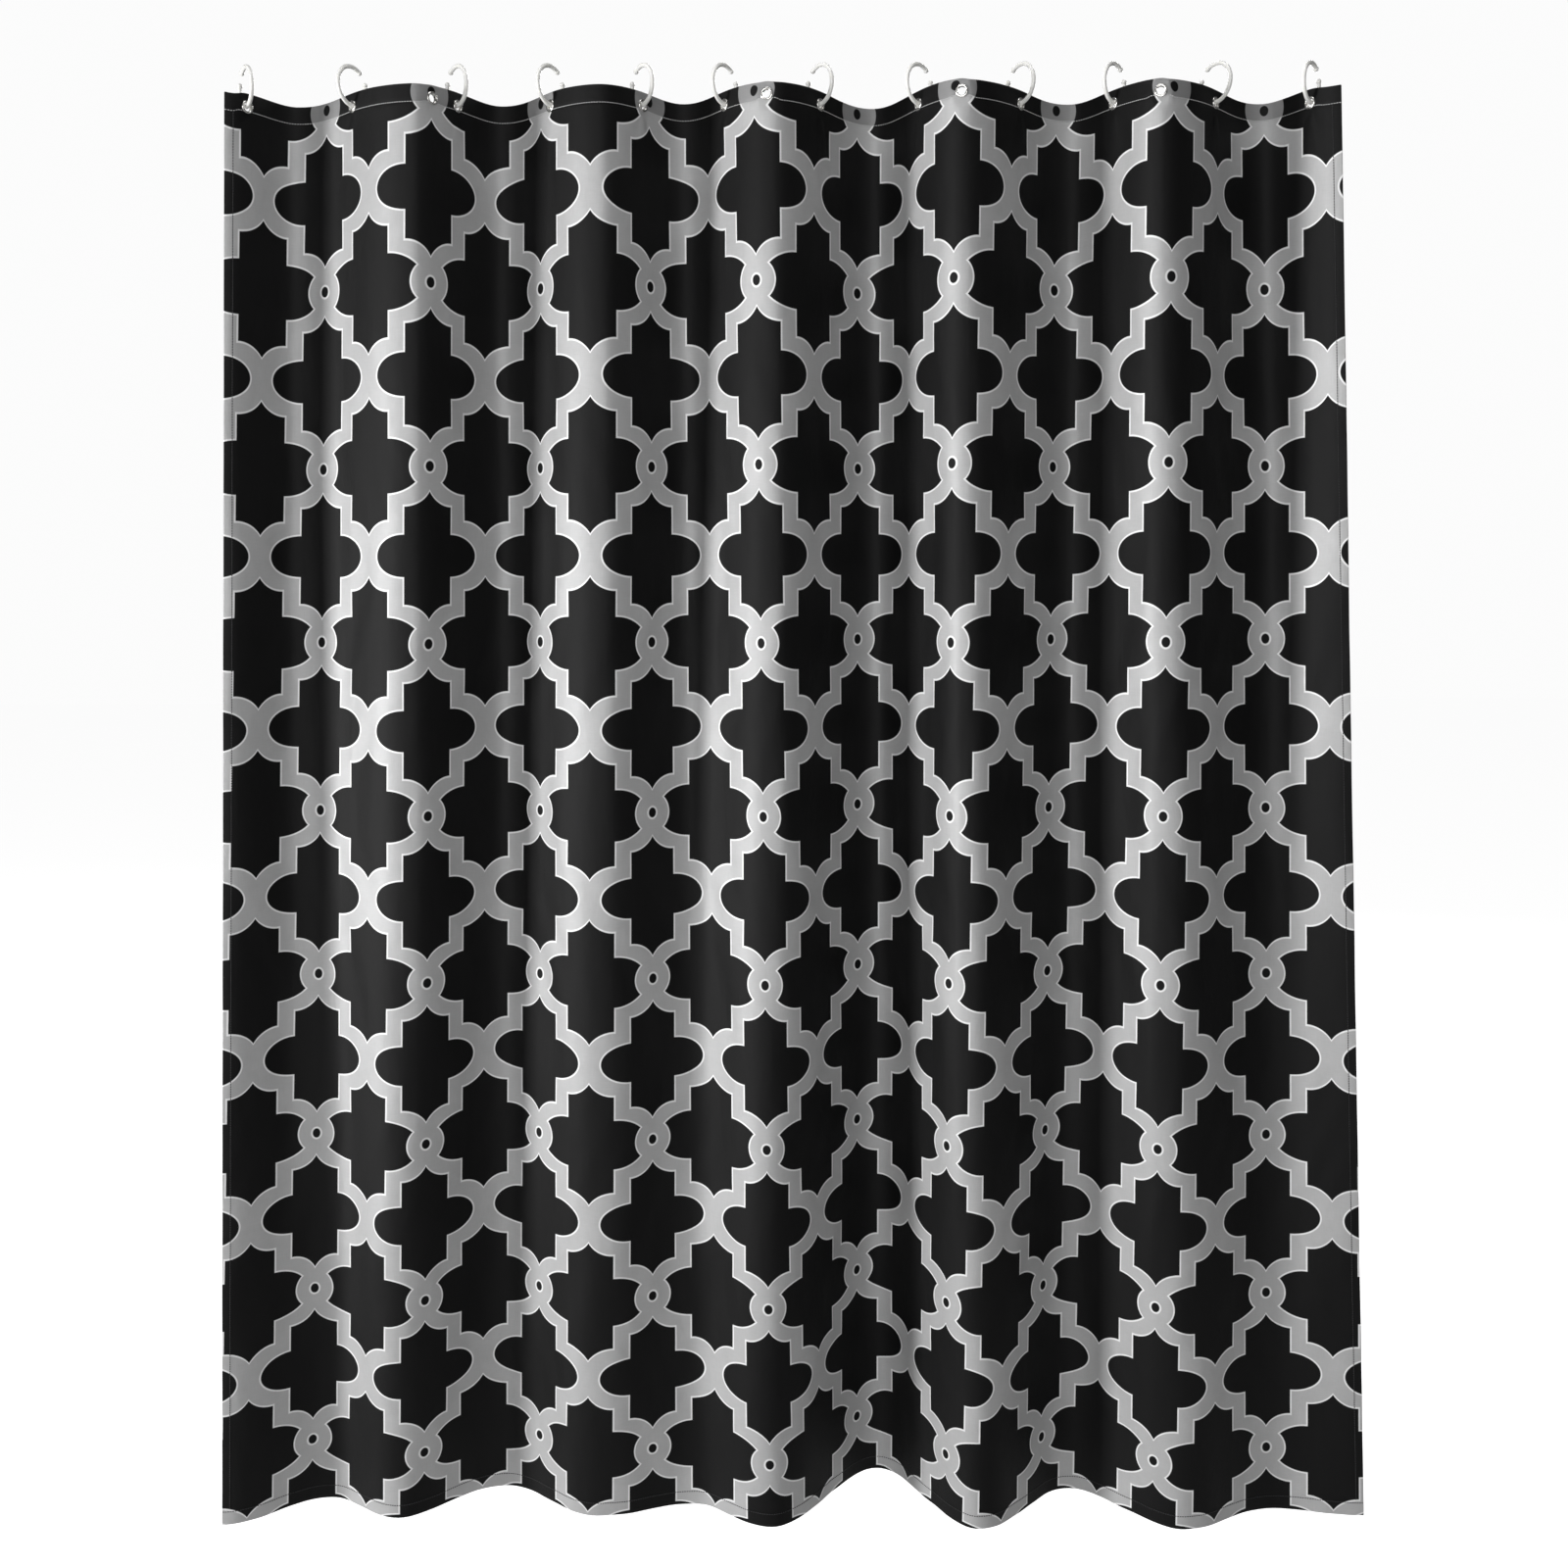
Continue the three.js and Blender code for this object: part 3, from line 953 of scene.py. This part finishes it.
def stitch_tree():
    """Lays one stitch after another along a line of edges."""
    tree, given, curves = line_tree("stitch_row", Pitch=0.003, Length=0.002, Thread=0.001)
    new, link = tree.nodes.new, tree.links.new
    even = new("GeometryNodeResampleCurve")
    even.mode = "LENGTH"
    link(curves, even.inputs["Curve"])
    link(given["Pitch"], even.inputs["Length"])
    bead = new("GeometryNodeMeshUVSphere")
    bead.inputs["Radius"].default_value = 0.5
    bead.inputs["Segments"].default_value = 6
    bead.inputs["Rings"].default_value = 5
    size = new("ShaderNodeCombineXYZ")
    link(given["Thread"], size.inputs["X"])
    link(given["Thread"], size.inputs["Y"])
    link(given["Length"], size.inputs["Z"])
    tangent = new("GeometryNodeInputTangent")
    turn = new("FunctionNodeAlignRotationToVector")
    turn.axis = "Z"
    link(tangent.outputs[0], turn.inputs["Vector"])
    laid = new("GeometryNodeInstanceOnPoints")
    link(even.outputs[0], laid.inputs["Points"])
    link(bead.outputs["Mesh"], laid.inputs["Instance"])
    link(turn.outputs[0], laid.inputs["Rotation"])
    link(size.outputs[0], laid.inputs["Scale"])
    real = new("GeometryNodeRealizeInstances")
    link(laid.outputs[0], real.inputs[0])
    return hand_out(tree, given, real.outputs[0])


def through_nodes(piece, tree, values):
    """Runs a piece through a node tree and returns the plain mesh object that comes out."""
    modifier = piece.modifiers.new("made", "NODES")
    modifier.node_group = tree
    for socket in tree.interface.items_tree:
        if socket.in_out == "INPUT" and socket.name in values:
            modifier[socket.identifier] = values[socket.name]
    bpy.context.view_layer.update()
    made = piece.evaluated_get(bpy.context.evaluated_depsgraph_get())
    mesh = bpy.data.meshes.new_from_object(made)
    piece.modifiers.remove(modifier)
    old = piece.data
    piece.data = mesh
    name = old.name
    bpy.data.meshes.remove(old)
    mesh.name = name
    return piece


def line_object(name, paths):
    """Lines of edges through the given points, as one mesh object."""
    points, edges = [], []
    for path in paths:
        edges += [(len(points) + i, len(points) + i + 1) for i in range(len(path) - 1)]
        points += [tuple(p) for p in path]
    mesh = bpy.data.meshes.new(name)
    mesh.from_pydata(points, edges, [])
    piece = bpy.data.objects.new(name, mesh)
    bpy.context.scene.collection.objects.link(piece)
    return piece


def make_stitches():
    cloth = HungCloth()
    sizes, sewing = settings("curtain_cloth_sizes"), settings("curtain_stitches")
    tree = bpy.data.node_groups.get("stitch_row") or stitch_tree()
    stand = sewing.thread * THREAD_STAND
    front = cloth.front - stand + SEAM_GROOVE
    back = sizes.hem_back + stand
    across = spaced(SEAM_END, cloth.width - SEAM_END, 0.002)
    down = spaced(SIDE_SEAM_END, cloth.drop - SIDE_SEAM_END, 0.006)
    seam = sizes.top_hem - TOP_SEAM_INSET
    low_seam = cloth.drop - sizes.bottom_hem + HEM_SEAM_INSET
    in_side = sizes.side_hem - HEM_SEAM_INSET
    values = {
        "Pitch": sewing.pitch,
        "Length": sewing.pitch - sewing.gap,
        "Thread": sewing.thread,
    }
    rows = {
        "top_stitches": (
            thread_material("pale_thread", sewing.pale),
            [cloth.at(across, seam, front), cloth.at(across, seam, back)],
        ),
        "hem_stitches": (
            thread_material("dark_thread", sewing.dark),
            [
                cloth.at(across, low_seam, cloth.front - stand),
                cloth.at(across, low_seam, back),
                cloth.at(in_side, down, cloth.front - stand),
                cloth.at(cloth.width - in_side, down, cloth.front - stand),
                cloth.at(in_side, down, sizes.side_back + stand),
                cloth.at(cloth.width - in_side, down, sizes.side_back + stand),
            ],
        ),
    }
    made = []
    for name, (finish, paths) in rows.items():
        piece = through_nodes(line_object(name, paths), tree, {**values, "Finish": finish})
        made.append(piece)
    return made


# ---------------------------------------------------------------- eyelets


def eyelet_section(cloth):
    """The stamped eyelet's section, as pairs of (radius, back).

    It has a rolled rim, a barrel, and the barrel's end rolled out over the washer.
    """
    sizes, panel = settings("curtain_eyelets"), settings("curtain_cloth_sizes")
    hole, outer = sizes.hole / 2, sizes.flange / 2
    seat = cloth.front - RIM_LIFT
    crown = (outer - hole) / 2
    middle = (outer + hole) / 2
    wall = BARREL_WALL
    end = panel.hem_back + BARREL_PAST_HEM
    points = []
    for angle in np.linspace(0, math.pi, 15):
        flatter = math.sin(angle) ** 0.8
        points.append((middle - crown * math.cos(angle), seat - 0.0002 - sizes.rim * flatter))
    points += [(outer, seat), (outer - wall, seat), (hole + wall, seat), (hole + wall, end - 0.0005)]
    for angle in np.linspace(0, math.pi, 8):
        roll = hole + 0.00105 + 0.0005 * math.cos(angle)
        points.append((roll, end + 0.0006 * math.sin(angle) - 0.0004))
    points += [(hole, end - 0.0012), (hole, seat + 0.0004)]
    return points


def washer_section():
    """A thin dished washer with a rounded outer edge."""
    sizes, panel = settings("curtain_eyelets"), settings("curtain_cloth_sizes")
    inner, outer = sizes.hole / 2 + 0.0009, sizes.flange / 2
    front = panel.hem_back + 0.0001
    points = [(inner, front)]
    for angle in np.linspace(-math.pi / 2, math.pi / 2, 8):
        points.append((outer - 0.0004 + 0.0004 * math.cos(angle), front + 0.0004 + 0.0004 * math.sin(angle)))
    points += [(inner + 0.0009, front + 0.0011), (inner, front + 0.0010)]
    return points


def turned_piece(name, sections, seat, finish):
    """Closed sections turned round an eyelet's axis and put in its seat."""
    _, centre, along, fall, out = seat
    points, faces = [], []
    for section in sections:
        first = len(points)
        for radius, back in section:
            for i in range(LATHE_SIDES):
                angle = 2 * math.pi * i / LATHE_SIDES
                offset = along * math.cos(angle) + fall * math.sin(angle)
                points.append(centre + offset * radius + out * back)
        for face in turned_faces(len(section), LATHE_SIDES):
            faces.append([first + corner for corner in face])
    piece = new_object(name, points, faces)
    piece.data.materials.append(finish)
    return piece


def make_eyelets():
    cloth = HungCloth()
    finish = nickel_material()
    sections = [eyelet_section(cloth), washer_section()]
    made = []
    for i, seat in enumerate(cloth.seats):
        if i < RING_COUNT:
            name, body = f"grommet_{i + 1:02d}", f"eyelet_{i + 1:02d}"
            nodes = (f"eyelet_{i + 1:02d}", f"washer_{i + 1:02d}")
        else:
            number = i - RING_COUNT + 1
            name, body = f"spare_grommet_{number}", f"spare_eyelet_{number}"
            nodes = (f"spare_eyelet_{number}", f"spare_washer_{number}")
        piece = turned_piece(name, sections, seat, finish)
        low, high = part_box(nodes[0])
        off = (Vector(low) + Vector(high)) / 2 - Vector(seat[1])
        if off.length > SEAT_TOLERANCE:
            raise RuntimeError(f"{name} is {off.length * 1000:.1f} mm from its place in the frame")
        made.append((piece, body if i else "curtain", nodes, float(seat[1][0])))
    return made


# ---------------------------------------------------------------- rings


def ring_tree():
    """Sweeps a round wire along a line, thick at its two ends."""
    tree, given, curves = line_tree("open_ring", Wire=0.005, Lip=0.006)
    new, link = tree.nodes.new, tree.links.new
    along = new("GeometryNodeSplineParameter")
    whole = new("GeometryNodeSplineLength")
    place, total = Term(tree, along.outputs["Length"]), Term(tree, whole.outputs["Length"])
    wire, lip = Term(tree, given["Wire"]) * 0.5, Term(tree, given["Lip"]) * 0.5
    from_end = place.maths("MINIMUM", total - place)
    in_lip = (from_end - lip).maths("POWER", 2.0)
    ball = (lip.maths("POWER", 2.0) - in_lip).maths("MAXIMUM", 0.0).maths("SQRT")
    neck = wire * from_end.maths("DIVIDE", lip).maths("MINIMUM", 1.0)
    radius = ball.maths("MAXIMUM", neck * (from_end - lip).maths("GREATER_THAN", 0.0))
    circle = new("GeometryNodeCurvePrimitiveCircle")
    circle.inputs["Resolution"].default_value = 20
    circle.inputs["Radius"].default_value = 1.0
    tube = new("GeometryNodeCurveToMesh")
    link(curves, tube.inputs["Curve"])
    link(circle.outputs[0], tube.inputs["Profile Curve"])
    tube.inputs["Fill Caps"].default_value = True
    link(radius.value, tube.inputs["Scale"])
    return hand_out(tree, given, tube.outputs[0])


def ring_line(centre, axis):
    """Points along the ring's wire from one lip round to the other, close together at the lips."""
    sizes = settings("curtain_rings")
    radius = (sizes.inside + sizes.wire) / 2
    half = sizes.gap / radius / 2
    swept = 2 * math.pi - 2 * half
    ends = np.linspace(0, 1, 25)[:-1] ** 1.6 * LIP_SHARE
    shares = np.concatenate([ends, np.linspace(LIP_SHARE, 1 - LIP_SHARE, 110), 1 - ends[::-1]])
    up = Vector((0, 0, 1))
    to_back = Vector(axis).cross(up).normalized()
    if to_back.y < 0:
        to_back = -to_back
    points = []
    for part in shares:
        angle = sizes.gap_angle + half + part * swept
        points.append(centre + to_back * (radius * math.sin(angle)) - up * (radius * math.cos(angle)))
    return points


def make_rings():
    sizes = settings("curtain_rings")
    tree = bpy.data.node_groups.get("open_ring") or ring_tree()
    finish = white_plastic_material()
    joints = {joint["name"]: joint for joint in frame["record"]["behaviour"]["joints"]}
    made = []
    for i in range(1, RING_COUNT + 1):
        joint = joints[f"turn_{i:02d}"]
        line = ring_line(Vector(joint["pos_m"]), joint["axis"])
        piece = line_object(f"c_ring_{i:02d}", [line])
        values = {"Wire": sizes.wire, "Lip": sizes.lip, "Finish": finish}
        made.append((through_nodes(piece, tree, values), f"hook_{i:02d}"))
    return made


# ---------------------------------------------------------------- stage


def aimed(place, target):
    return (Vector(target) - Vector(place)).to_track_quat("-Z", "Y").to_euler()


def area_light(name, place, target, wide, tall, power):
    light = bpy.data.lights.new(name, "AREA")
    light.shape = "RECTANGLE"
    light.size, light.size_y = wide, tall
    light.energy = power
    lamp = bpy.data.objects.new(name, light)
    lamp.location = place
    lamp.rotation_euler = aimed(place, target)
    bpy.context.scene.collection.objects.link(lamp)


def floor_material():
    """Pale floor that stays white where the camera sees it."""
    material, tree, surface = new_material("pale_floor")
    surface["Base Color"].default_value = (0.62, 0.62, 0.62, 1)
    surface["Roughness"].default_value = 0.9
    surface["Specular IOR Level"].default_value = 0.1
    seen = tree.nodes.new("ShaderNodeLightPath").outputs["Is Camera Ray"]
    put(tree, surface["Emission Strength"], Term(tree, seen) * 0.90)
    surface["Emission Color"].default_value = (1, 1, 1, 1)
    return material


def white_world():
    """A dim room that looks white where the camera sees past the floor."""
    world = bpy.data.worlds.new("studio")
    world.use_nodes = True
    tree = world.node_tree
    background = tree.nodes["Background"]
    background.inputs["Color"].default_value = (1, 1, 1, 1)
    seen = Term(tree, tree.nodes.new("ShaderNodeLightPath").outputs["Is Camera Ray"])
    put(tree, background.inputs["Strength"], seen * 0.87 + 0.10)
    return world


def make_stage():
    stage = settings("curtain_stage")
    scene = bpy.context.scene
    scene.world = white_world()
    scene.view_settings.view_transform = "Standard"
    reach = 14.0
    corners = [(-reach, -reach), (reach, -reach), (reach, reach), (-reach, reach)]
    floor = new_object("floor", [(x, y, stage.floor) for x, y in corners], [(0, 1, 2, 3)])
    floor.data.materials.append(floor_material())
    middle = (0.0, 0.0, -0.93)
    area_light("key_light", (-4.8, -1.9, -1.0), middle, 0.8, 2.2, stage.key)
    area_light("fill_light", (-0.7, -4.2, -0.3), middle, 2.2, 2.2, stage.fill)
    area_light("top_light", (0.0, -0.5, 1.6), (0.0, 0.0, 0.0), 1.8, 0.5, stage.top)
    area_light("back_light", (0.6, 2.6, 0.9), middle, 2.0, 1.2, stage.fill)
    camera = bpy.data.objects.new("camera", bpy.data.cameras.new("camera"))
    camera.data.lens = stage.lens
    camera.data.sensor_width = 36.0
    place = Matrix.Translation((0, -stage.distance, stage.height))
    tilt = Matrix.Rotation(math.pi / 2 - stage.pitch, 4, "X")
    camera.matrix_world = place @ tilt @ Matrix.Rotation(stage.roll, 4, "Z")
    scene.collection.objects.link(camera)
    scene.camera = camera
    return floor


# ---------------------------------------------------------------- operators


def gathers(piece, x):
    """Gives the piece a mesh of its own."""
    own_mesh(piece)


def first_eyelet_x():
    return float(HungCloth().seats[0][1][0])


class CURTAIN_OT_stage(bpy.types.Operator):
    """Make the floor, the lights and the camera"""

    bl_idname = "curtain.stage"
    bl_label = "Stage"

    def execute(self, context):
        make_stage()
        return {"FINISHED"}


class CURTAIN_OT_hems(bpy.types.Operator):
    """Fold the four hems"""

    bl_idname = "curtain.hems"
    bl_label = "Hems"

    def execute(self, context):
        x = first_eyelet_x()
        for node, hem in make_hems().items():
            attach(hem, "curtain")
            gathers(hem, x)
            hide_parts(node)
        return {"FINISHED"}


class CURTAIN_OT_stitches(bpy.types.Operator):
    """Sew the rows of stitches along the hems"""

    bl_idname = "curtain.stitches"
    bl_label = "Stitches"

    def execute(self, context):
        x = first_eyelet_x()
        for row in make_stitches():
            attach(row, "curtain")
            gathers(row, x)
        return {"FINISHED"}


class CURTAIN_OT_panel(bpy.types.Operator):
    """Hang the printed panel on the same body as the hems and stitches"""

    bl_idname = "curtain.panel"
    bl_label = "Panel"

    def execute(self, context):
        sizes = settings("curtain_cloth_sizes")
        panel = make_cloth()
        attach(panel, "curtain")
        gathers(panel, first_eyelet_x())
        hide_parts("curtain_cloth")
        return {"FINISHED"}


class CURTAIN_OT_eyelets(bpy.types.Operator):
    """Make the metal eyelets and their washers"""

    bl_idname = "curtain.eyelets"
    bl_label = "Eyelets"

    def execute(self, context):
        for piece, body, nodes, x in make_eyelets():
            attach(piece, body)
            gathers(piece, x)
            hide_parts(*nodes)
        return {"FINISHED"}


class CURTAIN_OT_rings(bpy.types.Operator):
    """Make the open plastic rings"""

    bl_idname = "curtain.rings"
    bl_label = "Rings"

    def execute(self, context):
        for piece, node in make_rings():
            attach(piece, node)
            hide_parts(node)
        return {"FINISHED"}


class CURTAIN_PT_maker(bpy.types.Panel):
    """Sizes, colours and the buttons that make each group of pieces"""

    bl_idname = "CURTAIN_PT_maker"
    bl_label = "Shower curtain"
    bl_space_type = "VIEW_3D"
    bl_region_type = "UI"
    bl_category = "Curtain"

    def draw(self, context):
        for name, group in SETTINGS.items():
            box = self.layout.box()
            box.label(text=group.__doc__)
            for prop in group.__annotations__:
                box.prop(settings(name), prop)
        for operator in OPERATORS:
            self.layout.operator(operator.bl_idname)


OPERATORS = (
    CURTAIN_OT_stage,
    CURTAIN_OT_hems,
    CURTAIN_OT_stitches,
    CURTAIN_OT_panel,
    CURTAIN_OT_eyelets,
    CURTAIN_OT_rings,
)
CLASSES = (*SETTINGS.values(), *OPERATORS, CURTAIN_PT_maker)


def register():
    for cls in CLASSES:
        bpy.utils.register_class(cls)
    for name, group in SETTINGS.items():
        setattr(bpy.types.Scene, name, bpy.props.PointerProperty(type=group))


def unregister():
    for name in SETTINGS:
        delattr(bpy.types.Scene, name)
    for cls in reversed(CLASSES):
        bpy.utils.unregister_class(cls)


def main():
    register()
    bpy.ops.curtain.stage()
    bpy.ops.curtain.hems()
    bpy.ops.curtain.stitches()
    bpy.ops.curtain.panel()
    bpy.ops.curtain.eyelets()
    bpy.ops.curtain.rings()


if __name__ == "__main__":
    main()
